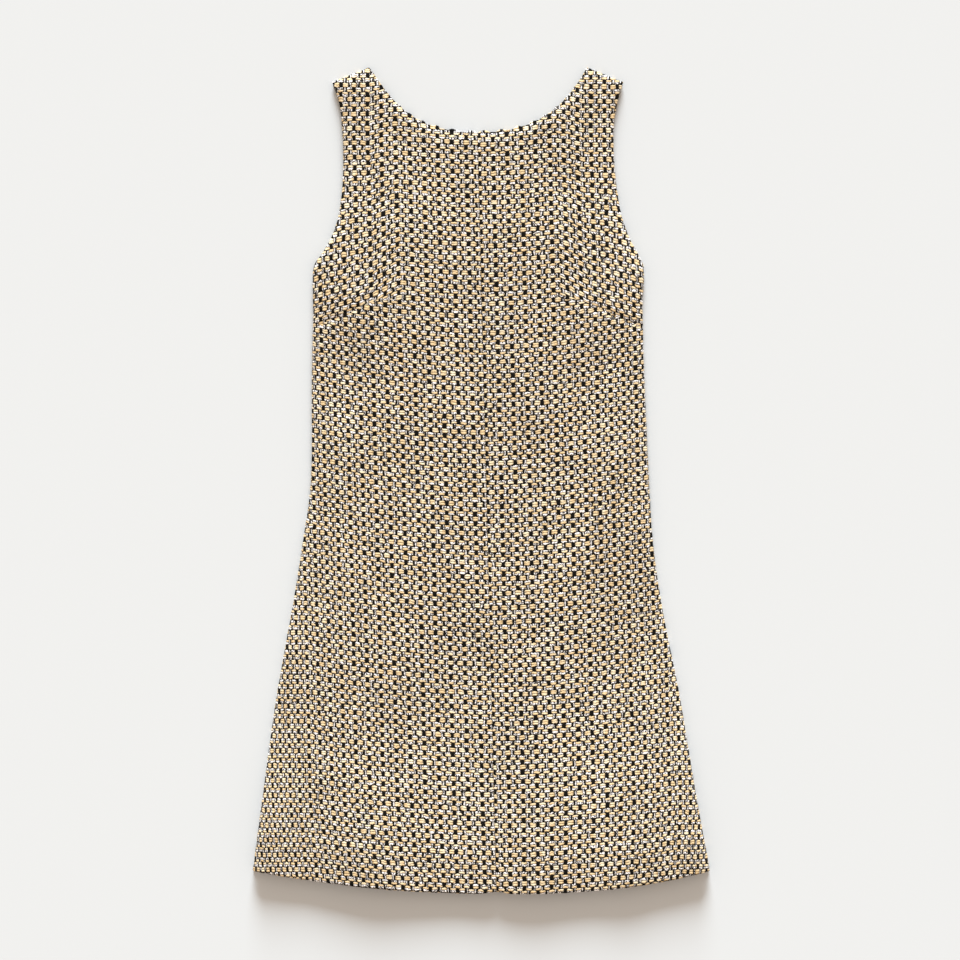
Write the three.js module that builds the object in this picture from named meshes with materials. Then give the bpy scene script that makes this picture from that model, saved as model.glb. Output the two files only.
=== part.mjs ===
import * as THREE from 'three';
import { mergeVertices } from 'three/addons/utils/BufferGeometryUtils.js';

/*
 * A sleeveless A-line shift dress in thick basket-weave tweed, laid flat on its back.
 * It is cut in three pieces: two fronts that meet in a centre seam, each with a bust dart,
 * and one plain back. Millimetres: +X points to the wearer's left, +Y from the hem to the
 * neck and +Z up from the surface the dress lies on. The origin is the middle of its underside.
 */

// Cloth and seams
const CLOTH = 2.4; // wall of the tweed
const HEM_WALL = 4; // the cloth and its turn-up, pressed together
const SEAM_GAP = 0.3; // between pieces that are sewn to each other
const SEAM_DIP = 0.7; // how far the cloth sinks into a seam or a dart
const SEAM_REACH = 3.5; // how far from the stitches that starts

// The whole dress
const LENGTH = 900; // middle of the hem to the neck end of the shoulder
const HEM_RISE = 25; // the corners of the hem above its middle
const HEM_CURVE = { right: 2, left: 2.5 }; // how late each half of the hem starts to rise
const HEM_NOTCH = 2.5; // the hem's pucker at the centre seam
const NOTCH_REACH = 11;

// The centre seam leans a little: it is further to the wearer's left at the hem
const SEAM_AT_HEM = 16.5;
const SEAM_AT_NECK = -4;

// Half of the neck: from its base, level at first, round to the shoulder
const NECK_BASE = 828;
const NECK_RUN = 142; // length of the curve, on one side
const UNDERARM = 682; // height of the corner between the side seam and the armhole
const NECK_STEPS = 48; // short lines that the curve is measured by
const NECK = {
  right: { pull: 70, handleX: 96, handleY: 860, endX: 122, endY: LENGTH - 1 },
  left: { pull: 66, handleX: 92, handleY: 857, endX: 115, endY: LENGTH - 1 },
};

// The outer edge, from the hem's corner up the side seam and round the armhole to the
// shoulder: how far out it is on each side of the middle line, at each height
const OUTER_EDGE = [
  { at: 'hem corner', height: 25, right: 248.5, left: 248.5 },
  { at: 'lower skirt', height: 102, right: 238.5, left: 234.5 },
  { at: 'mid skirt', height: 211, right: 223.5, left: 216.5 },
  { at: 'upper skirt', height: 319, right: 204.5, left: 195.5 },
  { at: 'hip', height: 385, right: 194, left: 186.5 },
  { at: 'waist', height: 450, right: 185.5, left: 182.5 },
  { at: 'ribs', height: 560, right: 184.5, left: 177.5 },
  { at: 'below the arm', height: 640, right: 183, left: 175.5 },
  { at: 'underarm', height: UNDERARM, right: 182.5, left: 176.5 },
  { at: 'under the armhole', height: 698, right: 172.5, left: 169.5 },
  { at: 'low armhole', height: 715, right: 163, left: 160.5 },
  { at: 'armhole', height: 741, right: 155, left: 152 },
  { at: 'armhole, deepest', height: 785, right: 150.5, left: 145.5 },
  { at: 'chest', height: 831, right: 151.5, left: 144 },
  { at: 'high armhole', height: 860, right: 155, left: 148 },
  { at: 'shoulder', height: 883, right: 162.5, left: 154.5 },
];

// The sections, hem to shoulder. `inner` is the distance from the hem along the centre seam
// and the neck, `outer` the height on the outer edge, `dart` how far the section's outer end
// is drawn down into the bust dart, `wall` the cloth there, and `rows` the facets to the next
const SECTIONS = [
  { at: 'hem', inner: 0, outer: HEM_RISE, dart: 0, wall: HEM_WALL, rows: 3 },
  { at: 'hem stitches', inner: 49, outer: 73, dart: 0, wall: HEM_WALL, rows: 1 },
  { at: 'above the turn-up', inner: 57, outer: 81, dart: 0, wall: CLOTH, rows: 11 },
  { at: 'waist', inner: 450, outer: 472, dart: 0, wall: CLOTH, rows: 4 },
  { at: 'below the dart', inner: 585, outer: 604, dart: 12, wall: CLOTH, rows: 3 },
  { at: 'dart, lower side', inner: 636, outer: 656, dart: 44, wall: CLOTH, rows: 1 },
  { at: 'dart', inner: 639.5, outer: 659.5, dart: 44, wall: CLOTH, rows: 1 },
  { at: 'dart, upper side', inner: 643, outer: 663, dart: 44, wall: CLOTH, rows: 3 },
  { at: 'underarm', inner: 690, outer: UNDERARM, dart: 0, wall: CLOTH, rows: 2 },
  { at: 'low armhole', inner: 728, outer: 715, dart: 0, wall: CLOTH, rows: 4 },
  { at: 'neck base', inner: NECK_BASE, outer: 802, dart: 0, wall: CLOTH, rows: 8 },
  { at: 'shoulder', inner: NECK_BASE + NECK_RUN, outer: 883, dart: 0, wall: CLOTH, rows: 0 },
];
const DART_TIP = 0.6; // where the dart ends, as a share of the way from the centre seam
const DART_AT = SECTIONS.find((section) => section.at === 'dart').inner;

// Loft: the fronts lie on the back, and rise a little between their edges
const LOFT = 2.5; // between the layers in the middle of a panel
const LOFT_AT_HEM = 1.5; // where the doubled hems lie on each other
const ROLL = { side: 9, armhole: 14, neck: 12, shoulder: 16 }; // width of each edge's roll

// The largest folds and swells: middle, length, width, lean from upright in degrees, and rise
const FOLDS = [
  { at: 'right bust', x: -112, y: 668, long: 150, wide: 62, lean: 10, rise: 1.2 },
  { at: 'left bust', x: 112, y: 668, long: 150, wide: 62, lean: -10, rise: 1.2 },
  { at: 'fold below the left bust', x: 136, y: 480, long: 240, wide: 20, lean: 2, rise: 0.9 },
  { at: 'trough beside it', x: 98, y: 470, long: 220, wide: 22, lean: 0, rise: -0.8 },
  { at: 'fold below the right bust', x: -104, y: 540, long: 200, wide: 28, lean: -3, rise: 0.7 },
  { at: 'trough at the right side', x: -150, y: 575, long: 120, wide: 20, lean: -6, rise: -1 },
  { at: 'flute, right of the skirt', x: -128, y: 90, long: 330, wide: 34, lean: -8, rise: 1.1 },
  { at: 'flute, middle of the skirt', x: 62, y: 80, long: 300, wide: 30, lean: 3, rise: 0.9 },
  { at: 'flute, left of the skirt', x: 176, y: 110, long: 320, wide: 26, lean: 9, rise: 1 },
  { at: 'trough in the skirt', x: -30, y: 110, long: 280, wide: 30, lean: -2, rise: -0.7 },
];

// How far across a panel its facets' columns are, as distances from its two edges
const NEAR_EDGE = [0, 1, 3.5, 9];
const MIDDLE_COLUMNS = 8;
const BACK_COLUMNS = 5;
const BACK_INSET = 1; // the back's neck, armholes and hem, behind the front's

const TWEED = { roughness: 0.95, metalness: 0 };
const PIECE_COLOURS = { front_right: 0x99_8b_77, front_left: 0x94_86_72, back: 0x8b_7e_6c };

/** Straight-line mix of two numbers. */
const mix = (a, b, share) => a + (b - a) * share;

/** The smooth curve through a table's column, by height (cubic, with secant slopes). */
function along(table, height, column) {
  const last = table.length - 2;
  const found = table.findIndex((row, i) => i <= last && height <= table[i + 1].height);
  const i = found < 0 ? last : found;
  const slope = (k) => {
    const before = table[Math.max(k - 1, 0)];
    const after = table[Math.min(k + 1, table.length - 1)];
    return (after[column] - before[column]) / (after.height - before.height);
  };
  const step = table[i + 1].height - table[i].height;
  const t = THREE.MathUtils.clamp((height - table[i].height) / step, 0, 1);
  const bend = t * t * (3 - 2 * t);
  const lead = slope(i) * step * t * (1 - t) ** 2;
  const tail = slope(i + 1) * step * t * t * (t - 1);
  return mix(table[i][column], table[i + 1][column], bend) + lead + tail;
}

/** The centre seam's distance from the middle line, at a height. */
const seamX = (height) => mix(SEAM_AT_HEM, SEAM_AT_NECK, height / NECK_BASE);

/** The hem's own height, at a share of the way from the centre seam to its corner. */
function hemHeight(share, fromSeam, side) {
  const pucker = HEM_NOTCH * Math.exp(-((fromSeam / NOTCH_REACH) ** 2));
  return HEM_RISE * share ** HEM_CURVE[side] + pucker;
}

/** One half of the neck as a curve, from the centre seam to the shoulder. */
function neckCurve(side, sign, inset) {
  const { pull, handleX, handleY, endX, endY } = NECK[side];
  const baseX = seamX(NECK_BASE);
  return new THREE.CubicBezierCurve(
    new THREE.Vector2(baseX, NECK_BASE - inset),
    new THREE.Vector2(baseX + sign * pull, NECK_BASE - inset),
    new THREE.Vector2(sign * (handleX + inset), handleY - inset),
    new THREE.Vector2(sign * (endX + inset), endY),
  );
}

/** Every row of a panel, hem to shoulder, with the values between its table's sections. */
function panelRows() {
  const rows = [];
  SECTIONS.forEach((section, i) => {
    const next = SECTIONS[i + 1] ?? section;
    for (let k = 0; k < Math.max(section.rows, 1); k += 1) {
      const share = section.rows ? k / section.rows : 0;
      rows.push({
        inner: mix(section.inner, next.inner, share),
        outer: mix(section.outer, next.outer, share),
        dart: mix(section.dart, next.dart, share),
        wall: mix(section.wall, next.wall, share),
      });
    }
  });
  return rows;
}

/** The share of the full loft at a distance in from an edge that rolls over that width. */
function roll(distance, width) {
  const left = 1 - Math.min(Math.max(distance, 0) / width, 1);
  return Math.sqrt(1 - left * left);
}

/** How far the folds raise or lower the cloth at a point. */
function foldRise(x, y) {
  return FOLDS.reduce((sum, fold) => {
    const lean = THREE.MathUtils.degToRad(fold.lean);
    const [dx, dy] = [x - fold.x, y - fold.y];
    const across = dx * Math.cos(lean) - dy * Math.sin(lean);
    const up = dx * Math.sin(lean) + dy * Math.cos(lean);
    const fade = Math.exp(-((across / fold.wide) ** 2) - ((2 * up) / fold.long) ** 4);
    return sum + fold.rise * fade;
  }, 0);
}

/** How far the cloth sinks at a distance from a line of stitches. */
const seamDip = (distance) => SEAM_DIP * Math.max(1 - Math.abs(distance) / SEAM_REACH, 0);

/** A panel's points in plan, a list for each row, from its inner edge to its outer one. */
function panelPlan(side, rows, { columns, gap, inset, darts }) {
  const sign = side === 'left' ? 1 : -1;
  const neck = neckCurve(side, sign, inset);
  const neckEdge = neck.getPoints(NECK_STEPS);
  return rows.map((row) => {
    const onNeck = row.inner > NECK_BASE;
    const start = onNeck
      ? neck.getPointAt(Math.min((row.inner - NECK_BASE) / NECK_RUN, 1))
      : new THREE.Vector2(seamX(row.inner) + (sign * gap) / 2, row.inner);
    const drop = darts ? row.dart : 0;
    const endHeight = row.outer - drop;
    const hidden = endHeight > UNDERARM ? inset : 0;
    const end = new THREE.Vector2(sign * (along(OUTER_EDGE, endHeight, side) - hidden), row.outer);
    const width = start.distanceTo(end);
    const straightening = THREE.MathUtils.smoothstep(row.inner, UNDERARM, NECK_BASE);
    return columns(width).map((distance) => {
      const share = distance / width;
      const x = mix(start.x, end.x, share);
      const lift = share ** mix(2, 1, straightening);
      const drawn = drop * Math.max((share - DART_TIP) / (1 - DART_TIP), 0);
      const straight = mix(start.y, end.y, lift) - drawn;
      const hem = hemHeight(share, distance, side) + inset;
      const above = THREE.MathUtils.smoothstep(row.inner, 0, 120);
      const y = mix(hem + row.inner, straight, above);
      const toNeck = Math.min(...neckEdge.map((p) => Math.hypot(p.x - x, p.y - y)));
      return { x, y, share, width, row, toNeck };
    });
  });
}

/** The faces between two stacked grids of points, closed all round into one wall. */
function wallBetween(top, bottom, sign, joinedRows = 0) {
  const points = [];
  const faces = [];
  const rows = top.length;
  const columns = top[0].length;
  const grids = [top, bottom];
  grids.forEach((grid) => grid.flat().forEach((p) => points.push(p.x, p.y, p.z)));
  const index = (layer, r, c) => layer * rows * columns + r * columns + c;
  const quad = (a, b, c, d) => {
    const flip = sign < 0;
    faces.push(a, flip ? c : b, flip ? b : c, a, flip ? d : c, flip ? c : d);
  };
  for (let r = 0; r < rows - 1; r += 1) {
    for (let c = 0; c < columns - 1; c += 1) {
      quad(index(0, r, c), index(0, r, c + 1), index(0, r + 1, c + 1), index(0, r + 1, c));
      quad(index(1, r, c), index(1, r + 1, c), index(1, r + 1, c + 1), index(1, r, c + 1));
    }
    const outer = columns - 1;
    quad(index(0, r, outer), index(1, r, outer), index(1, r + 1, outer), index(0, r + 1, outer));
    if (r >= joinedRows) {
      quad(index(0, r, 0), index(0, r + 1, 0), index(1, r + 1, 0), index(1, r, 0));
    }
  }
  for (let c = 0; c < columns - 1; c += 1) {
    const end = rows - 1;
    quad(index(0, 0, c), index(1, 0, c), index(1, 0, c + 1), index(0, 0, c + 1));
    quad(index(0, end, c), index(0, end, c + 1), index(1, end, c + 1), index(1, end, c));
  }
  return { points, faces };
}

/** One geometry from walls that share the points where they touch. */
function closedGeometry(walls) {
  const points = [];
  const faces = [];
  walls.forEach((wall) => {
    const offset = points.length / 3;
    points.push(...wall.points);
    faces.push(...wall.faces.map((corner) => corner + offset));
  });
  const loose = new THREE.BufferGeometry();
  loose.setAttribute('position', new THREE.Float32BufferAttribute(points, 3));
  loose.setIndex(faces);
  const joined = mergeVertices(loose, 1e-3);
  joined.translate(0, -LENGTH / 2, 0);
  joined.computeVertexNormals();
  return joined;
}

/** Distances across a front, close together near its two edges. */
function frontColumns(width) {
  const edge = NEAR_EDGE.at(-1);
  const reach = Math.min(edge, width / 4) / edge;
  const near = NEAR_EDGE.map((distance) => distance * reach);
  const inside = width - 2 * near.at(-1);
  const middle = Array.from(
    { length: MIDDLE_COLUMNS - 1 },
    (_, i) => near.at(-1) + (inside * (i + 1)) / MIDDLE_COLUMNS,
  );
  return [...near, ...middle, ...near.map((distance) => width - distance).reverse()];
}

/** Even distances across half of the back. */
const backColumns = (width) =>
  Array.from({ length: BACK_COLUMNS + 1 }, (_, i) => (width * i) / BACK_COLUMNS);

/** The height of a front's upper face, above the surface that the dress lies on. */
function frontTop(point) {
  const { x, y, share, width, row, toNeck } = point;
  const onNeck = row.inner > NECK_BASE;
  const fromOuter = (1 - share) * width;
  const fromInner = share * width;
  const besideArm = row.outer > UNDERARM;
  const outerRoll = roll(fromOuter, besideArm ? ROLL.armhole : ROLL.side);
  const fromShoulder = NECK_BASE + NECK_RUN - row.inner;
  const edges = outerRoll * roll(toNeck, ROLL.neck) * roll(fromShoulder, ROLL.shoulder);
  const doubled = (row.wall - CLOTH) / (HEM_WALL - CLOTH);
  const loft = mix(LOFT, LOFT_AT_HEM, doubled) + foldRise(x, y);
  const onDart = share > DART_TIP ? seamDip(row.inner - DART_AT) : 0;
  const onSeam = onNeck ? 0 : seamDip(fromInner);
  const gap = SEAM_GAP + Math.max(loft * edges - onDart - onSeam, 0);
  return 2 * row.wall + gap;
}

/** A front panel: the cloth's wall under its lofted upper face. */
function frontPanel(side) {
  const sign = side === 'left' ? 1 : -1;
  const rows = panelRows();
  const plan = panelPlan(side, rows, { columns: frontColumns, gap: SEAM_GAP, inset: 0, darts: true });
  const top = plan.map((line) => line.map((p) => new THREE.Vector3(p.x, p.y, frontTop(p))));
  const bottom = top.map((line, r) => line.map((p) => new THREE.Vector3(p.x, p.y, p.z - rows[r].wall)));
  return closedGeometry([wallBetween(top, bottom, sign)]);
}

/** The back: one flat wall on the surface, doubled along its hem, from two joined halves. */
function backPanel() {
  const rows = panelRows();
  const joined = rows.findIndex((row) => row.inner >= NECK_BASE);
  const walls = ['right', 'left'].map((side) => {
    const sign = side === 'left' ? 1 : -1;
    const settings = { columns: backColumns, gap: 0, inset: BACK_INSET, darts: false };
    const plan = panelPlan(side, rows, settings);
    const top = plan.map((line, r) => line.map((p) => new THREE.Vector3(p.x, p.y, rows[r].wall)));
    const bottom = top.map((line) => line.map((p) => new THREE.Vector3(p.x, p.y, 0)));
    return wallBetween(top, bottom, sign, joined);
  });
  return closedGeometry(walls);
}

/** A named piece of the dress. */
function piece(name, geometry) {
  const material = new THREE.MeshStandardMaterial({ color: PIECE_COLOURS[name], ...TWEED });
  const mesh = new THREE.Mesh(geometry, material);
  mesh.name = name;
  return mesh;
}

const dress = new THREE.Group();
dress.name = 'shift_dress';
dress.add(piece('back', backPanel()));
dress.add(piece('front_right', frontPanel('right')));
dress.add(piece('front_left', frontPanel('left')));

export default dress;
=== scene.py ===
"""A sleeveless A-line shift dress in basket-weave tweed, laid flat on a pale surface.

Metres. +X points to the wearer's left, +Y from the hem to the neck and +Z up.
"""

import logging
import math
from dataclasses import dataclass, field
from enum import Enum
from typing import Any, Sequence

import bmesh
import bpy
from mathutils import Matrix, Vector, noise


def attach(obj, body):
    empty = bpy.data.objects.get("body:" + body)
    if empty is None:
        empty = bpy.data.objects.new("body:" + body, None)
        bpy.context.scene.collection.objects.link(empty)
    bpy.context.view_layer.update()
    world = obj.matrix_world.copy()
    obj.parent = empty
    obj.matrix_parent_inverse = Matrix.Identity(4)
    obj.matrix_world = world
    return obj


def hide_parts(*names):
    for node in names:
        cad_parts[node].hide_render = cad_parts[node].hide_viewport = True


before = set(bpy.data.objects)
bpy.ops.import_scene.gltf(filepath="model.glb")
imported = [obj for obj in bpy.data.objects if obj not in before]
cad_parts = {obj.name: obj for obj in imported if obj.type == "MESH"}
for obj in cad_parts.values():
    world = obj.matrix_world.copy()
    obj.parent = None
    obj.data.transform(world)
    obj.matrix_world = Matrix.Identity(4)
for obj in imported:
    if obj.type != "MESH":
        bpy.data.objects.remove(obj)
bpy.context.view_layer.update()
LOG = logging.getLogger("dress")


class Side(Enum):
    """The wearer's two sides, as the sign of their X."""

    RIGHT = -1
    LEFT = 1


@dataclass(frozen=True)
class Cloth:
    """The tweed's walls, seams and weave.

    Attributes:
        wall: Thickness of one layer.
        hem_wall: Thickness of the cloth and its turn-up together.
        hem_turn: Depth of the turn-up.
        gap: Space between pieces that are sewn to each other.
        dip: How far the cloth sinks into a seam.
        dip_reach: How far from the stitches that starts.
        end_pitch: Width of a pair of ends, across the cloth.
        pick_pitch: Width of a pair of picks, along the cloth.
        fringe: How far single yarns make the cut edges uneven.
        fringe_grain: How fine that unevenness is, in waves a metre.
        hem_fade: How far above the turn-up the doubled wall ends.
        rim: Width of the bevel on the cloth's edges.
        rim_angle: How sharp an edge has to be to get it, in degrees.
    """

    wall: float = 0.0024
    hem_wall: float = 0.004
    hem_turn: float = 0.049
    gap: float = 0.0003
    dip: float = 0.0011
    dip_reach: float = 0.0045
    end_pitch: float = 0.00515
    pick_pitch: float = 0.00525
    fringe: float = 0.0006
    fringe_grain: float = 320
    hem_fade: float = 0.008
    rim: float = 0.0007
    rim_angle: float = 60


@dataclass(frozen=True)
class Cut:
    """The dress's main sizes, heights counted from the middle of the hem.

    Attributes:
        length: Middle of the hem to the neck end of the shoulder.
        hem_rise: The hem's corners above its middle.
        hem_notch: The hem's pucker at the centre seam.
        notch_reach: How far that pucker reaches.
        hem_run: Height up to which the rows still take something of the hem's curve.
        seam_at_hem: The centre seam's X at the hem.
        seam_at_neck: The centre seam's X at the neck.
        neck_base: Height of the lowest point of the neck.
        neck_run: Length of half the neck's curve.
        dart_level: The bust dart's place along the centre seam.
        dart_tip: Where the dart ends, as a share of the way from the centre seam.
        dart_drop: How far the dart falls from its tip to the side seam. Not used.
        back_inset: The back's neck, armholes and hem, behind the front's.
    """

    length: float = 0.9
    hem_rise: float = 0.025
    hem_notch: float = 0.0025
    notch_reach: float = 0.011
    hem_run: float = 0.12
    seam_at_hem: float = 0.0165
    seam_at_neck: float = -0.004
    neck_base: float = 0.828
    neck_run: float = 0.142
    dart_level: float = 0.64
    dart_tip: float = 0.6
    dart_drop: float = 0.044
    back_inset: float = 0.001


@dataclass(frozen=True)
class Grain:
    """How the yarns run in the panels.

    Attributes:
        half: The half width over which the yarns bend.
        fan: Share by which the ends are spread at that width.
        smile: How far the picks rise there.
        smile_power: How late, on the way out, they rise.
        flare: Height under which the skirt's flare flattens that rise.
        flattened: Share of the rise that is gone at the hem.
        turn: Slope by which the cloth above the dart is turned.
        tip: Where that turn starts, as a share of the dart's own tip.
        tip_run: How far past there the picks have all of it.
        calm: Height above which nothing of it is left.
        calm_run: How far below that it fades.
        hem_lean: Share by which the ends are spread at the hem.
        hem_run: Height under which they are.
        first_pair: The pairs of ends and picks counted before the middle of the hem.
        left_shift: How far the left side's pairs miss the right side's at the seam.
    """

    half: float = 0.2
    fan: float = 0.07
    smile: float = 0.020
    smile_power: float = 1.6
    flare: float = 0.35
    flattened: float = 0.35
    turn: float = 0.27
    tip: float = 0.8
    tip_run: float = 0.03
    calm: float = 0.80
    calm_run: float = 0.15
    hem_lean: float = 0.045
    hem_run: float = 0.1
    first_pair: tuple[float, float] = (60, 10)
    left_shift: tuple[float, float] = (0.35, 0.4)


@dataclass(frozen=True)
class Loft:
    """How far the fronts rise over the back.

    Attributes:
        body: The rise over most of the dress.
        hem: The rise at the hem.
        hem_run: Height under which the hem's rise starts.
        droop: How far the hem's own edge sinks again.
        droop_run: Height under which it sinks.
        side_roll: Width over which the cloth rolls over at the side seam.
        armhole_roll: The same at the armhole.
        neck_roll: The same at the neck.
        shoulder_roll: The same at the shoulder.
        dart_run: Share of the width over which the dart's dip starts.
        hem_dip: The hem stitches' dip, as a share of a seam's.
    """

    body: float = 0.0042
    hem: float = 0.0082
    hem_run: float = 0.22
    droop: float = 0.0016
    droop_run: float = 0.06
    side_roll: float = 0.011
    armhole_roll: float = 0.016
    neck_roll: float = 0.013
    shoulder_roll: float = 0.018
    dart_run: float = 0.15
    hem_dip: float = 0.5


@dataclass(frozen=True)
class EdgePoint:
    """A height on the outer edge, and how far out it is on each side."""

    height: float
    right: float
    left: float


@dataclass(frozen=True)
class Section:
    """A line across a panel: its place along each edge, and its fall into the dart."""

    inner: float
    outer: float
    dart: float


@dataclass(frozen=True)
class Fold:
    """A soft ridge (or trough, with a negative rise) in the cloth; lean is in degrees."""

    x: float
    y: float
    long: float
    wide: float
    lean: float
    rise: float


@dataclass(frozen=True)
class Neckline:
    """Half of the neck as a curve: level at its base, then up to the shoulder."""

    pull: float
    handle_x: float
    handle_y: float
    end_x: float
    end_y: float


CLOTH = Cloth()
CUT = Cut()
GRAIN = Grain()
LOFT = Loft()

# Less than any distance between two rows or columns
TINY = 1e-6

# Up the side seam and round the armhole, from the hem's corner to the shoulder
OUTER_EDGE = (
    EdgePoint(height=0.025, right=0.2485, left=0.2485),
    EdgePoint(height=0.102, right=0.2385, left=0.2345),
    EdgePoint(height=0.211, right=0.2235, left=0.2165),
    EdgePoint(height=0.319, right=0.2045, left=0.1955),
    EdgePoint(height=0.385, right=0.194, left=0.1865),
    EdgePoint(height=0.45, right=0.1855, left=0.1825),
    EdgePoint(height=0.56, right=0.1845, left=0.1775),
    EdgePoint(height=0.64, right=0.183, left=0.1755),
    EdgePoint(height=0.682, right=0.1825, left=0.1765),
    EdgePoint(height=0.698, right=0.1725, left=0.1695),
    EdgePoint(height=0.715, right=0.163, left=0.1605),
    EdgePoint(height=0.741, right=0.155, left=0.152),
    EdgePoint(height=0.785, right=0.1505, left=0.1455),
    EdgePoint(height=0.831, right=0.1515, left=0.144),
    EdgePoint(height=0.86, right=0.155, left=0.148),
    EdgePoint(height=0.883, right=0.1625, left=0.1545),
)
UNDERARM = 0.682
NECK_STEPS = 48
NECKLINES = {
    Side.RIGHT: Neckline(pull=0.07, handle_x=0.096, handle_y=0.86, end_x=0.122, end_y=0.899),
    Side.LEFT: Neckline(pull=0.066, handle_x=0.092, handle_y=0.857, end_x=0.115, end_y=0.899),
}
HEM_CURVE = {Side.RIGHT: 2.0, Side.LEFT: 2.5}

# Lines across a panel, from the hem to the shoulder
SECTIONS = (
    Section(inner=0.0, outer=0.025, dart=0.0),
    Section(inner=0.057, outer=0.081, dart=0.0),
    Section(inner=0.45, outer=0.472, dart=0.0),
    Section(inner=0.585, outer=0.604, dart=0.012),
    Section(inner=0.635, outer=0.655, dart=0.044),
    Section(inner=0.645, outer=0.665, dart=0.044),
    Section(inner=0.69, outer=0.682, dart=0.0),
    Section(inner=0.728, outer=0.715, dart=0.0),
    Section(inner=0.828, outer=0.802, dart=0.0),
    Section(inner=0.97, outer=0.883, dart=0.0),
)

# The creases and swells, largest first
FOLDS = (
    Fold(x=-0.108, y=0.672, long=0.17, wide=0.058, lean=10, rise=0.0040),
    Fold(x=0.110, y=0.672, long=0.17, wide=0.058, lean=-10, rise=0.0040),
    Fold(x=0.136, y=0.48, long=0.26, wide=0.019, lean=2, rise=0.0026),
    Fold(x=0.098, y=0.47, long=0.24, wide=0.021, lean=0, rise=-0.0019),
    Fold(x=-0.104, y=0.52, long=0.22, wide=0.026, lean=-3, rise=0.0021),
    Fold(x=-0.06, y=0.50, long=0.18, wide=0.018, lean=4, rise=-0.0012),
    Fold(x=-0.152, y=0.575, long=0.13, wide=0.02, lean=-6, rise=-0.0026),
    Fold(x=0.150, y=0.60, long=0.09, wide=0.018, lean=20, rise=-0.0018),
    Fold(x=-0.03, y=0.46, long=0.2, wide=0.032, lean=5, rise=0.0016),
    Fold(x=0.045, y=0.575, long=0.16, wide=0.026, lean=-14, rise=0.0014),
    Fold(x=-0.128, y=0.09, long=0.36, wide=0.034, lean=-8, rise=0.0026),
    Fold(x=0.062, y=0.08, long=0.32, wide=0.03, lean=3, rise=0.0022),
    Fold(x=0.176, y=0.11, long=0.34, wide=0.024, lean=9, rise=0.0024),
    Fold(x=-0.03, y=0.11, long=0.3, wide=0.03, lean=-2, rise=-0.0019),
    Fold(x=-0.205, y=0.10, long=0.22, wide=0.022, lean=-10, rise=-0.0018),
    Fold(x=0.120, y=0.22, long=0.24, wide=0.024, lean=6, rise=-0.0018),
    Fold(x=0.185, y=0.30, long=0.16, wide=0.016, lean=14, rise=-0.0022),
    Fold(x=-0.08, y=0.29, long=0.22, wide=0.03, lean=-5, rise=0.0013),
    Fold(x=-0.09, y=0.79, long=0.09, wide=0.024, lean=24, rise=-0.0009),
    Fold(x=0.088, y=0.79, long=0.10, wide=0.022, lean=-26, rise=-0.0010),
)


def mix(low: float, high: float, share: float) -> float:
    """Go from low to high.

    Args:
        low: The value at share 0.
        high: The value at share 1.
        share: How far to go.

    Returns:
        The value there.
    """
    return low + (high - low) * share


def clamp(value: float) -> float:
    """Hold a value between 0 and 1.

    Args:
        value: Any number.

    Returns:
        The nearest number from 0 to 1.
    """
    return min(max(value, 0.0), 1.0)


def ease(value: float) -> float:
    """Start and end a rise softly.

    Args:
        value: How far the rise is, held between 0 and 1.

    Returns:
        The eased share.
    """
    share = clamp(value)
    return share * share * (3 - 2 * share)


def roll(distance: float, width: float) -> float:
    """Round an edge over.

    Args:
        distance: How far in from the edge.
        width: How wide the roll is.

    Returns:
        The share of the full height, 0 at the edge and 1 past the roll.
    """
    left = 1 - clamp(distance / width)
    return math.sqrt(1 - left * left)


def outer_x(height: float, side: Side) -> float:
    """Find the outer edge.

    Args:
        height: Height above the hem.
        side: Which half.

    Returns:
        The edge's distance from the middle line.
    """
    points = [(p.height, p.left if side is Side.LEFT else p.right) for p in OUTER_EDGE]
    last = len(points) - 2
    i = next((k for k in range(last + 1) if height <= points[k + 1][0]), last)

    def slope(k: int) -> float:
        """Give the edge's slope at one of its points."""
        before, after = points[max(k - 1, 0)], points[min(k + 1, last + 1)]
        return (after[1] - before[1]) / (after[0] - before[0])

    step = points[i + 1][0] - points[i][0]
    t = clamp((height - points[i][0]) / step)
    lead = slope(i) * step * t * (1 - t) ** 2
    tail = slope(i + 1) * step * t * t * (t - 1)
    return mix(points[i][1], points[i + 1][1], ease(t)) + lead + tail


def seam_x(height: float) -> float:
    """Find the centre seam.

    Args:
        height: Height above the hem.

    Returns:
        The seam's X.
    """
    return mix(CUT.seam_at_hem, CUT.seam_at_neck, height / CUT.neck_base)


def fold_rise(x: float, y: float) -> float:
    """Add up the creases at a point.

    Args:
        x: X of the point.
        y: Height above the hem.

    Returns:
        How far the cloth is raised.
    """
    total = 0.0
    for fold in FOLDS:
        lean = math.radians(fold.lean)
        dx, dy = x - fold.x, y - fold.y
        across = dx * math.cos(lean) - dy * math.sin(lean)
        up = dx * math.sin(lean) + dy * math.cos(lean)
        total += fold.rise * math.exp(-((across / fold.wide) ** 2) - (2 * up / fold.long) ** 4)
    return total


@dataclass(frozen=True)
class Place:
    """A point of a panel: in plan, and where it lies between the panel's edges.

    Attributes:
        x: X of the point.
        y: Height above the hem.
        share: Share of the way from the inner edge to the outer one.
        width: Distance between the two edges there.
        inner: Distance from the hem along the inner edge.
        outer: Height of this line's end on the outer edge.
    """

    x: float
    y: float
    share: float
    width: float
    inner: float
    outer: float


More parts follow.
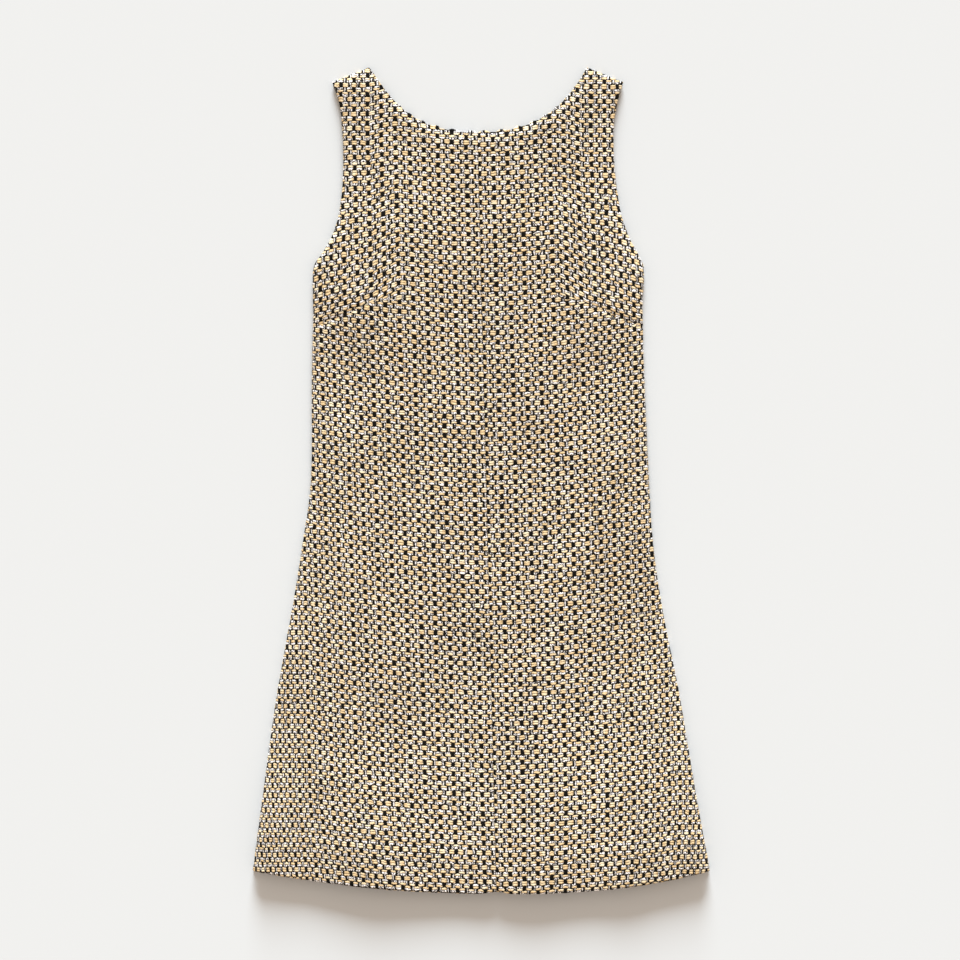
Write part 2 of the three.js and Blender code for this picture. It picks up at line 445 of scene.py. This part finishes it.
@dataclass
class Panel:
    """A cut piece of the dress: a fine grid bent to the cut, then given its wall.

    Attributes:
        name: The CAD node that the piece stands for.
        material: Its tweed.
        finish_slot: The name of a slot for the tweed. Not used.
        flat_width: Width of the cut, laid flat. Not used.
        flat_area: Area of the cut, in square metres. Not used.
        rests_on: What the piece lies on. Not used.
        columns: Cells across the grid.
        rows: Cells along it.
        neck_edge: Points of the neck of the half that is being made.
    """

    name: str
    material: bpy.types.Material
    finish_slot: str
    flat_width: float
    flat_area: float
    rests_on: str
    columns: int = 120
    rows: int = 388
    neck_edge: list[Vector] = field(default_factory=list)

    def neck_point(self, run: float, side: Side, inset: float) -> Vector:
        """Find a point of the neck.

        Args:
            run: Share of the way from the neck's base to the shoulder.
            side: Which half.
            inset: How far inside the front's neck.

        Returns:
            The point in plan.
        """
        line, sign = NECKLINES[side], side.value
        base = Vector((seam_x(CUT.neck_base), CUT.neck_base - inset))
        handle = Vector((sign * (line.handle_x + inset), line.handle_y - inset))
        points = (
            base,
            base + Vector((sign * line.pull, 0)),
            handle,
            Vector((sign * (line.end_x + inset), line.end_y)),
        )
        t = clamp(run)
        weights = ((1 - t) ** 3, 3 * t * (1 - t) ** 2, 3 * t * t * (1 - t), t**3)
        total = Vector((0.0, 0.0))
        for weight, point in zip(weights, points):
            total += point * weight
        return total

    def place(self, share: float, inner: float, side: Side, gap: float, inset: float) -> Place:
        """Find a point of the panel from its two shares.

        Args:
            share: Share of the way from the inner edge to the outer one.
            inner: Distance from the hem along the inner edge.
            side: Which half.
            gap: Width of the centre seam's gap.
            inset: How far inside the front's edges.

        Returns:
            The point.
        """
        i = next(k for k in range(1, len(SECTIONS)) if inner <= SECTIONS[k].inner + TINY)
        low, high = SECTIONS[i - 1], SECTIONS[i]
        step = (inner - low.inner) / (high.inner - low.inner)
        outer = mix(low.outer, high.outer, step)
        drop = 0.0 if inset else mix(low.dart, high.dart, step)
        if inner > CUT.neck_base:
            start = self.neck_point((inner - CUT.neck_base) / CUT.neck_run, side, inset)
        else:
            start = Vector((seam_x(inner) + side.value * gap / 2, inner))
        end_height = outer - drop
        hidden = inset if end_height > UNDERARM else 0.0
        end = Vector((side.value * (outer_x(end_height, side) - hidden), outer))
        width = (end - start).length
        x = mix(start.x, end.x, share)
        drawn = drop * max((share - CUT.dart_tip) / (1 - CUT.dart_tip), 0.0)
        bend = mix(2, 1, ease((inner - UNDERARM) / (CUT.neck_base - UNDERARM)))
        straight = mix(start.y, end.y, share**bend) - drawn
        pucker = CUT.hem_notch * math.exp(-((share * width / CUT.notch_reach) ** 2))
        hem = CUT.hem_rise * share ** HEM_CURVE[side] + pucker + inset
        y = mix(hem + inner, straight, ease(inner / CUT.hem_run))
        return Place(x, y, share, width, inner, outer - drop)

    def frayed(self, spot: Place, side: Side) -> tuple[float, float]:
        """Let single yarns make the edges a little uneven.

        Args:
            spot: A point of the panel.
            side: Which half.

        Returns:
            Its X and its height, moved if it is on an edge.
        """
        spread = Vector((spot.x, spot.y, 0.3)) * CLOTH.fringe_grain
        ragged = CLOTH.fringe * noise.noise(spread)
        at_neck = spot.inner > CUT.neck_base and spot.share < TINY
        at_end = spot.inner < TINY or spot.inner > CUT.neck_base + CUT.neck_run - TINY
        across = ragged * side.value if spot.share > 1 - TINY else 0.0
        return spot.x + across, spot.y + (ragged if at_neck or at_end else 0.0)

    def grain(self, spot: Place, side: Side, above_dart: bool) -> tuple[float, float]:
        """Find which yarns pass through a point.

        Args:
            spot: A point of the panel.
            side: Which half.
            above_dart: Whether the cloth there is above the dart's stitches.

        Returns:
            The count of pairs of ends and of pairs of picks.
        """
        out = side.value * (spot.x - seam_x(min(spot.y, CUT.neck_base)))
        fanned = out * (1 + GRAIN.fan * (out / GRAIN.half) ** 4)
        flare = clamp(1 - spot.y / GRAIN.flare)
        smile = GRAIN.smile * (1 - GRAIN.flattened * flare)
        smile *= clamp(out / GRAIN.half) ** GRAIN.smile_power
        height = spot.y - smile
        if above_dart:
            tip = CUT.dart_tip * GRAIN.tip * outer_x(CUT.dart_level, side)
            past_tip = max(out - tip, 0.0)
            left = clamp((GRAIN.calm - spot.y) / GRAIN.calm_run)
            height += GRAIN.turn * past_tip * left + smile
            height -= smile * clamp(1 - past_tip / GRAIN.tip_run)
        leaning = GRAIN.hem_lean * clamp(1 - spot.y / GRAIN.hem_run) * out
        ends = side.value * (fanned + leaning) / CLOTH.end_pitch
        shift = GRAIN.left_shift if side is Side.LEFT else (0.0, 0.0)
        first_end, first_pick = GRAIN.first_pair
        return ends + shift[0] + first_end, height / CLOTH.pick_pitch + shift[1] + first_pick

    def top(self, spot: Place) -> float:
        """Find the height of the front's face over the surface the dress lies on.

        Args:
            spot: A point of the panel.

        Returns:
            The height.
        """
        outer_roll = LOFT.armhole_roll if spot.outer > UNDERARM else LOFT.side_roll
        edges = roll((1 - spot.share) * spot.width, outer_roll)
        if spot.y > CUT.neck_base - LOFT.neck_roll:
            here = Vector((spot.x, spot.y))
            from_neck = min((here - point).length for point in self.neck_edge)
            edges *= roll(from_neck, LOFT.neck_roll)
        edges *= roll(CUT.neck_base + CUT.neck_run - spot.inner, LOFT.shoulder_roll)
        raised = ease(1 - spot.inner / LOFT.hem_run)
        droop = LOFT.droop * clamp(1 - spot.inner / LOFT.droop_run) ** 2
        lift = mix(LOFT.body, LOFT.hem, raised) - droop
        loft = (lift + fold_rise(spot.x, spot.y)) * edges
        if spot.inner <= CUT.neck_base:
            loft -= self.dip(spot.share * spot.width)
        sewn = clamp((spot.share - CUT.dart_tip) / LOFT.dart_run)
        loft -= sewn * self.dip(spot.inner - CUT.dart_level)
        loft -= LOFT.hem_dip * self.dip(spot.inner - CLOTH.hem_turn)
        layer = max(mix(CLOTH.wall, CLOTH.hem_wall, raised), self.wall(spot.inner))
        return 2 * layer + CLOTH.gap + max(loft, 0.0)

    def dip(self, away: float) -> float:
        """Find how far the cloth sinks at a line of stitches.

        Args:
            away: Distance from the stitches.

        Returns:
            The depth.
        """
        return CLOTH.dip * clamp(1 - abs(away) / CLOTH.dip_reach)

    def wall(self, inner: float) -> float:
        """Find the cloth's thickness.

        Args:
            inner: Distance from the hem along the inner edge.

        Returns:
            The thickness, doubled over the turn-up.
        """
        thinned = clamp((inner - CLOTH.hem_turn) / CLOTH.hem_fade)
        return mix(CLOTH.hem_wall, CLOTH.wall, thinned)

    def half(self, mesh: bmesh.types.BMesh, side: Side, gap: float, inset: float) -> None:
        """Add one half's sheet of cloth to a mesh.

        Args:
            mesh: The mesh.
            side: Which half.
            gap: Width of the centre seam's gap.
            inset: How far inside the front's edges.
        """
        layer = mesh.loops.layers.uv.verify()
        weights = mesh.verts.layers.deform.verify()
        made = bmesh.ops.create_grid(
            mesh, x_segments=self.columns, y_segments=self.rows, size=0.5
        )["verts"]
        total = CUT.neck_base + CUT.neck_run
        steps = range(NECK_STEPS + 1)
        self.neck_edge = [self.neck_point(k / NECK_STEPS, side, inset) for k in steps]
        spots = {}
        for vert in made:
            inner = (vert.co.y + 0.5) * total
            spots[vert] = self.place(vert.co.x + 0.5, inner, side, gap, inset)
        faces = {face for vert in made for face in vert.link_faces}
        for face in faces:
            middle = sum(spots[loop.vert].inner for loop in face.loops) / 4
            for loop in face.loops:
                loop[layer].uv = self.grain(spots[loop.vert], side, middle > CUT.dart_level)
        for vert in made:
            x, y = self.frayed(spots[vert], side)
            wall = self.wall(spots[vert].inner)
            z = wall if inset else self.top(spots[vert])
            vert[weights][0] = wall / CLOTH.hem_wall
            vert.co = (x, y - CUT.length / 2, z)
        if side is Side.RIGHT:
            bmesh.ops.reverse_faces(mesh, faces=list(faces))

    def finish(self, mesh: bmesh.types.BMesh) -> None:
        """Turn the sheet into a piece of cloth with its wall and finish.

        Args:
            mesh: The sheet.
        """
        data = bpy.data.meshes.new(f"{self.name}_cloth")
        mesh.to_mesh(data)
        mesh.free()
        data.uv_layers[0].name = "weave"
        data.shade_smooth()
        data.materials.append(self.material)
        piece = bpy.data.objects.new(f"{self.name}_cloth", data)
        bpy.context.collection.objects.link(piece)
        doubled = piece.vertex_groups.new(name="wall")
        wall = piece.modifiers.new("wall", "SOLIDIFY")
        wall.offset = -1
        wall.thickness = CLOTH.hem_wall
        wall.vertex_group = doubled.name
        rim = piece.modifiers.new("rim", "BEVEL")
        rim.width = CLOTH.rim
        rim.segments = 1
        rim.limit_method = "ANGLE"
        rim.angle_limit = math.radians(CLOTH.rim_angle)
        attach(piece, "root")
        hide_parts(self.name)
        LOG.info("%s: %d faces", piece.name, len(data.polygons))


@dataclass
class Front(Panel):
    """One of the two fronts, lofted over the back.

    Attributes:
        side: Which half it is.
    """

    finish_slot: str = "tweed_front"
    flat_width: float = OUTER_EDGE[0].right + CUT.seam_at_hem
    flat_area: float = 0.176
    rests_on: str = "back"
    side: Side = Side.RIGHT

    def build(self) -> None:
        """Build the panel."""
        mesh = bmesh.new()
        self.half(mesh, self.side, CLOTH.gap, 0.0)
        self.finish(mesh)


@dataclass
class Back(Panel):
    """The plain back, flat on the surface, in one piece."""

    finish_slot: str = "tweed_back"
    flat_width: float = 2 * OUTER_EDGE[0].right
    flat_area: float = 0.337
    rests_on: str = "floor"
    columns: int = 48
    rows: int = 194

    def build(self) -> None:
        """Build the panel from two halves that are one below the neck."""
        mesh = bmesh.new()
        for side in Side:
            self.half(mesh, side, 0.0, CUT.back_inset)
        bmesh.ops.remove_doubles(mesh, verts=mesh.verts, dist=TINY)
        self.finish(mesh)


class Value:
    """A number made by shader nodes, which adds and multiplies as a number does."""

    def __init__(self, kit: "NodeKit", socket: bpy.types.NodeSocket) -> None:
        """Wrap a socket.

        Args:
            kit: The material's node kit.
            socket: The output that gives the number.
        """
        self.kit = kit
        self.socket = socket

    def __add__(self, other: Any) -> "Value":
        """Add."""
        return self.kit.math("ADD", self, other)

    def __sub__(self, other: Any) -> "Value":
        """Subtract."""
        return self.kit.math("SUBTRACT", self, other)

    def __rsub__(self, other: Any) -> "Value":
        """Subtract from."""
        return self.kit.math("SUBTRACT", other, self)

    def __mul__(self, other: Any) -> "Value":
        """Multiply."""
        return self.kit.math("MULTIPLY", self, other)

    def __truediv__(self, other: Any) -> "Value":
        """Divide."""
        return self.kit.math("DIVIDE", self, other)

    def __pow__(self, other: Any) -> "Value":
        """Raise to a power."""
        return self.kit.math("POWER", self, other)

    def __gt__(self, other: Any) -> "Value":
        """Give 1 where this is greater."""
        return self.kit.math("GREATER_THAN", self, other)

    __radd__ = __add__
    __rmul__ = __mul__


class NodeKit:
    """Makes a material's nodes, one method for them all."""

    def __init__(self, name: str) -> None:
        """Start an empty material.

        Args:
            name: The material's name.
        """
        self.material = bpy.data.materials.new(name)
        self.material.use_nodes = True
        self.tree = self.material.node_tree
        self.shader = self.tree.nodes["Principled BSDF"]

    def node(self, kind: str, settings: dict[str, Any], **inputs: Any) -> bpy.types.Node:
        """Add a node.

        Args:
            kind: The node's type.
            settings: Its properties.
            **inputs: Its sockets' values, by name with underscores for spaces.

        Returns:
            The node.
        """
        made = self.tree.nodes.new(kind)
        for key, value in settings.items():
            setattr(made, key, value)
        for key, value in inputs.items():
            self.feed(made.inputs[key.replace("_", " ")], value)
        return made

    def feed(self, socket: bpy.types.NodeSocket, value: Any) -> None:
        """Set or link a socket.

        Args:
            socket: The input.
            value: A constant, a Value or an output socket.
        """
        source = value.socket if isinstance(value, Value) else value
        if isinstance(source, bpy.types.NodeSocket):
            self.tree.links.new(source, socket)
        else:
            socket.default_value = source

    def math(self, operation: str, *terms: Any) -> Value:
        """Work out a number.

        Args:
            operation: The Math node's operation.
            *terms: Its one to three terms.

        Returns:
            The result.
        """
        made = self.node("ShaderNodeMath", {"operation": operation})
        for socket, term in zip(made.inputs, terms):
            self.feed(socket, term)
        return Value(self, made.outputs[0])

    def ramp(self, value: Any, low: float, high: float) -> Value:
        """Rise smoothly from 0 to 1.

        Args:
            value: What is measured.
            low: Where the rise starts.
            high: Where it ends; below low, it falls instead.

        Returns:
            The share.
        """
        settings = {"interpolation_type": "SMOOTHSTEP"}
        made = self.node("ShaderNodeMapRange", settings, Value=value, From_Min=low, From_Max=high)
        return Value(self, made.outputs[0])

    def colour(self, share: Any, low: Any, high: Any, blend: str = "MIX") -> Any:
        """Blend two colours.

        Args:
            share: How much of the second.
            low: The first colour.
            high: The second colour.
            blend: The Mix node's way of blending.

        Returns:
            The output socket.
        """
        made = self.node("ShaderNodeMix", {"data_type": "RGBA", "blend_type": blend})
        for index, term in ((0, share), (6, low), (7, high)):
            self.feed(made.inputs[index], term)
        return made.outputs[2]

    def noise(self, place: Any, scale: float, detail: float = 2.0, shift: float = 0.0) -> Value:
        """Give a soft random number from 0 to 1.

        Args:
            place: The vector it varies over.
            scale: How fine it is.
            detail: How many finer layers it has.
            shift: Which of many such patterns.

        Returns:
            The number.
        """
        settings = {"noise_dimensions": "4D"}
        made = self.node(
            "ShaderNodeTexNoise", settings, Vector=place, Scale=scale, Detail=detail, W=shift
        )
        return Value(self, made.outputs[0])


@dataclass(frozen=True)
class Wander:
    """How the yarns stray from their places, by a soft random pattern.

    Attributes:
        scale: How fine the pattern is.
        reach: How far they stray at most, in pairs, to both sides together.
        pattern: Which of many such patterns.
    """

    scale: float
    reach: float
    pattern: float


@dataclass(frozen=True)
class Yarn:
    """One of the two yarns of a pair, seen across.

    Attributes:
        middle: Its distance from the middle of the pair, in pairs.
        half: Half its width, in pairs.
        round: How flat its crown is.
    """

    middle: float
    half: float
    round: float


@dataclass(frozen=True)
class Weave:
    """The weave at a point, as shader numbers.

    Attributes:
        weft: 1 where a weft float lies on top, 0 where the warp does.
        hollow: 1 in the gap round a float, where painted shade darkens the cloth.
        weft_crown: How high the weft yarn's crown is there; it also sets the painted highlight on
            the crown and the painted shade on the flanks.
        warp_crown: How high the warp yarn's crown is there; it also sets the painted highlight on
            the crown and the painted shade on the flanks.
        cream_pick: 1 where the weft yarn is a cream one.
        cream_end: 1 where the warp yarn is a cream one.
    """

    weft: Value
    hollow: Value
    weft_crown: Value
    warp_crown: Value
    cream_pick: Value
    cream_end: Value


@dataclass(frozen=True)
class Tweed:
    """The tweed's colours and yarns, and the material they make.

    Attributes:
        tan: The smooth tan yarn.
        tan_twist_shade: The same yarn, darkened by painted shade in the grooves of its twist.
        tan_slub: The same yarn where it is palest.
        cream: The curly cream yarn.
        cream_curl_shade: Painted shade in the hollows between its curls.
        black: The smooth black yarn.
        block: Half the length of a weft float, in pairs.
        block_tall: Half its height, in pairs.
        pick: A weft yarn.
        end: A warp yarn.
        end_wander: How the ends stray.
        pick_wander: How the picks stray.
        rise: Height of the floats over the hollows, in metres.
        relief: How strong that relief is.
    """

    tan: tuple[float, float, float, float] = (0.86, 0.63, 0.37, 1)
    tan_twist_shade: tuple[float, float, float, float] = (0.60, 0.40, 0.18, 1)
    tan_slub: tuple[float, float, float, float] = (0.99, 0.89, 0.66, 1)
    cream: tuple[float, float, float, float] = (0.98, 0.9, 0.845, 1)
    cream_curl_shade: tuple[float, float, float, float] = (0.03, 0.022, 0.017, 1)
    black: tuple[float, float, float, float] = (0.008, 0.006, 0.004, 1)
    block: float = 0.64
    block_tall: float = 0.475
    pick: Yarn = Yarn(middle=0.235, half=0.245, round=2.4)
    end: Yarn = Yarn(middle=0.17, half=0.19, round=2.2)
    end_wander: tuple[Wander, Wander] = (Wander(0.9, 0.5, 3.0), Wander(3.4, 0.34, 5.0))
    pick_wander: tuple[Wander, Wander] = (Wander(0.8, 0.5, 9.0), Wander(3.4, 0.32, 12.0))
    rise: float = 0.0011
    relief: float = 0.9

    def strayed(self, kit: NodeKit, uv: Any, count: Value, wanders: Sequence[Wander]) -> Value:
        """Move a count of yarns by its wanders.

        Args:
            kit: The material's node kit.
            uv: The weave's own place.
            count: The count.
            wanders: The patterns that move it.

        Returns:
            The moved count.
        """
        for wander in wanders:
            away = kit.noise(uv, wander.scale, 1.0, wander.pattern) - 0.5
            count = count + away * wander.reach
        return count

    def crown(self, kit: NodeKit, across: Value, yarn: Yarn) -> Value:
        """Round a yarn across.

        Args:
            kit: The material's node kit.
            across: Distance from the middle of the pair.
            yarn: The yarn.

        Returns:
            The share of its height, 1 on the crown and 0 past its flanks.
        """
        off = kit.math("ABSOLUTE", (across - yarn.middle) / yarn.half)
        return kit.math("MAXIMUM", 1 - off**yarn.round, 0.0)

    def weave(self, kit: NodeKit, uv: Any) -> Weave:
        """Work out the 2/2 basket weave and the order of its colours.

        Args:
            kit: The material's node kit.
            uv: The weave's own place, in pairs of ends and of picks.

        Returns:
            The weave.
        """
        split = kit.node("ShaderNodeSeparateXYZ", {}, Vector=uv)
        ends, picks = (Value(kit, split.outputs[axis]) for axis in (0, 1))
        u = self.strayed(kit, uv, ends, self.end_wander)
        v = self.strayed(kit, uv, picks, self.pick_wander)

        # Which pair of yarns, and which of its two; every third is cream
        column, row = kit.math("FLOOR", u), kit.math("FLOOR", v)
        beside, over = u - column - 0.5, v - row - 0.5
        right, upper = beside > 0.0, over > 0.0
        cream_end = kit.math("FLOORED_MODULO", column * 2 + right, 3.0) > 1.5
        cream_pick = kit.math("FLOORED_MODULO", row * 2 + upper, 3.0) > 1.5

        # How far from the middle of the nearest weft float of this row
        turn = kit.math("FLOORED_MODULO", u + row + 0.5, 2.0) - 1
        reach = kit.math("ABSOLUTE", turn) / self.block
        tall = kit.math("ABSOLUTE", over)
        edge = reach**4.0 + (tall / self.block_tall) ** 6.0
        past = kit.math("ABSOLUTE", edge - 1.22)

        # Each yarn is round across, and each float arches along its length
        weft_arch = 1 - reach * reach * 0.55
        warp_arch = 1 - tall * tall * 2.6
        return Weave(
            weft=kit.ramp(edge, 1.12, 0.82),
            hollow=kit.ramp(past, 0.7, 0.14),
            weft_crown=self.crown(kit, tall, self.pick) * weft_arch,
            warp_crown=self.crown(kit, kit.math("ABSOLUTE", beside), self.end) * warp_arch,
            cream_pick=cream_pick,
            cream_end=cream_end,
        )

    def build(self, name: str) -> bpy.types.Material:
        """Make the material.

        Args:
            name: Its name.

        Returns:
            The material.
        """
        kit = NodeKit(name)
        uv = kit.node("ShaderNodeUVMap", {"uv_map": "weave"}).outputs[0]
        at = self.weave(kit, uv)
        warp = 1 - at.weft

        # Curls of the cream yarn, twist of the smooth ones
        curl = kit.noise(uv, 3.7, 2.0, 21.0)
        curly = kit.math("MAXIMUM", at.cream_pick * at.weft, at.cream_end * warp)
        twist = kit.noise(uv, 7.5, 2.0, 33.0)
        height = at.weft * (0.45 + at.weft_crown * 0.5) + warp * (at.warp_crown * 0.30)
        height = height + curly * (curl - 0.5) * 0.75 + (twist - 0.5) * 0.10

        # Colours of the yarns, with painted shade in the grooves of the twist and between the
        # curls
        slub = kit.noise(uv, 0.55, 2.0, 44.0)
        # Painted shade: the tan is darker where the grooves of its twist sink
        tan = kit.colour(kit.ramp(twist, 0.3, 0.7), self.tan_twist_shade, self.tan)
        tan = kit.colour(kit.ramp(slub, 0.42, 0.7) * 0.6, tan, self.tan_slub)
        # Painted shade: the cream yarn goes near black in the hollows between its curls
        cream = kit.colour(kit.ramp(curl, 0.44, 0.52), self.cream_curl_shade, self.cream)
        picked = kit.colour(at.cream_pick, tan, cream)
        ended = kit.colour(at.cream_end, self.black, cream)
        cloth = kit.colour(at.weft, ended, picked)

        # Painted shade in the hollows and on the yarns' flanks, painted highlight on their
        # crowns, and lighter and darker in random patches
        weft_shade = 0.13 + at.weft_crown * 1.05
        warp_shade = 0.05 + at.warp_crown * 0.92
        shade = (at.weft * weft_shade + warp * warp_shade) * (1 - at.hollow * 0.92)
        # Lighter and darker in random patches
        blotches = 0.93 + (kit.noise(uv, 0.07, 2.0, 55.0) - 0.5) * 0.35
        level = kit.math("MINIMUM", shade * blotches, 1.0)
        grey = kit.node("ShaderNodeCombineColor", {}, Red=level, Green=level, Blue=level)
        base = kit.colour(1.0, cloth, grey.outputs[0], "MULTIPLY")
        bump = kit.node(
            "ShaderNodeBump", {}, Strength=self.relief, Distance=self.rise, Height=height
        )
        kit.feed(kit.shader.inputs["Base Color"], base)
        kit.feed(kit.shader.inputs["Roughness"], 0.94 - (1 - curly) * 0.14)
        kit.feed(kit.shader.inputs["Normal"], bump.outputs[0])
        kit.shader.inputs["Sheen Weight"].default_value = 0.01
        kit.shader.inputs["Sheen Roughness"].default_value = 0.6
        kit.shader.inputs["Specular IOR Level"].default_value = 0.05
        return kit.material


@dataclass(frozen=True)
class Studio:
    """The pale floor, soft light and the camera straight above.

    Attributes:
        view: Width of what the camera sees at the dress.
        view_height: Height at which it sees that much.
        camera: Place of the camera, which looks straight down.
        floor_half: Half the floor's width.
        floor_drop: How far the floor is below the dress.
        floor: The floor's colour.
        sky: The warm light from all round.
        sun_colour: Colour of the soft light from past the neck.
        sun: That light's strength.
        sun_low: That light's height above the horizon, in degrees.
        sun_soft: Its angular width, in degrees.
    """

    view: float = 1.0445
    view_height: float = 0.008
    camera: tuple[float, float, float] = (-0.0015, -0.0003, 3.2)
    floor_half: float = 6
    floor_drop: float = 0.0002
    floor: tuple[float, float, float, float] = (0.58, 0.578, 0.57, 1)
    sky: tuple[float, float, float, float] = (0.81, 0.71, 0.62, 1)
    sun_colour: tuple[float, float, float] = (0.8, 0.91, 1.0)
    sun: float = 10.1
    sun_low: float = 16.0
    sun_soft: float = 24.0

    def build(self) -> None:
        """Build the floor, the lights and the camera."""
        scene = bpy.context.scene
        scene.view_settings.view_transform = "Standard"
        mesh = bmesh.new()
        bmesh.ops.create_grid(mesh, x_segments=8, y_segments=8, size=self.floor_half)
        data = bpy.data.meshes.new("floor")
        mesh.to_mesh(data)
        mesh.free()
        floor = bpy.data.objects.new("floor", data)
        floor.location.z = -self.floor_drop
        scene.collection.objects.link(floor)
        kit = NodeKit("floor_paper")
        kit.shader.inputs["Base Color"].default_value = self.floor
        kit.shader.inputs["Roughness"].default_value = 0.9
        kit.shader.inputs["Specular IOR Level"].default_value = 0.1
        data.materials.append(kit.material)

        world = bpy.data.worlds.new("studio")
        scene.world = world
        world.use_nodes = True
        sky = world.node_tree.nodes["Background"]
        sky.inputs["Color"].default_value = self.sky
        sky.inputs["Strength"].default_value = 1.0
        lamp = bpy.data.lights.new("window", "SUN")
        lamp.energy = self.sun
        lamp.color = self.sun_colour
        lamp.angle = math.radians(self.sun_soft)
        light = bpy.data.objects.new("window", lamp)
        light.rotation_euler = (math.radians(self.sun_low - 90), 0, 0)
        scene.collection.objects.link(light)

        lens = bpy.data.cameras.new("camera")
        lens.lens = lens.sensor_width * (self.camera[2] - self.view_height) / self.view
        camera = bpy.data.objects.new("camera", lens)
        camera.location = self.camera
        scene.collection.objects.link(camera)
        scene.camera = camera
        LOG.info("studio: sun at %.0f degrees", self.sun_low)


def main() -> None:
    """Build the dress and its studio."""
    logging.basicConfig(level=logging.INFO, format="%(name)s: %(message)s")
    Studio().build()
    tweed = Tweed().build("tweed")
    Back("back", tweed).build()
    Front("front_right", tweed).build()
    Front("front_left", tweed, flat_area=0.161, side=Side.LEFT).build()


if __name__ == "__main__":
    main()
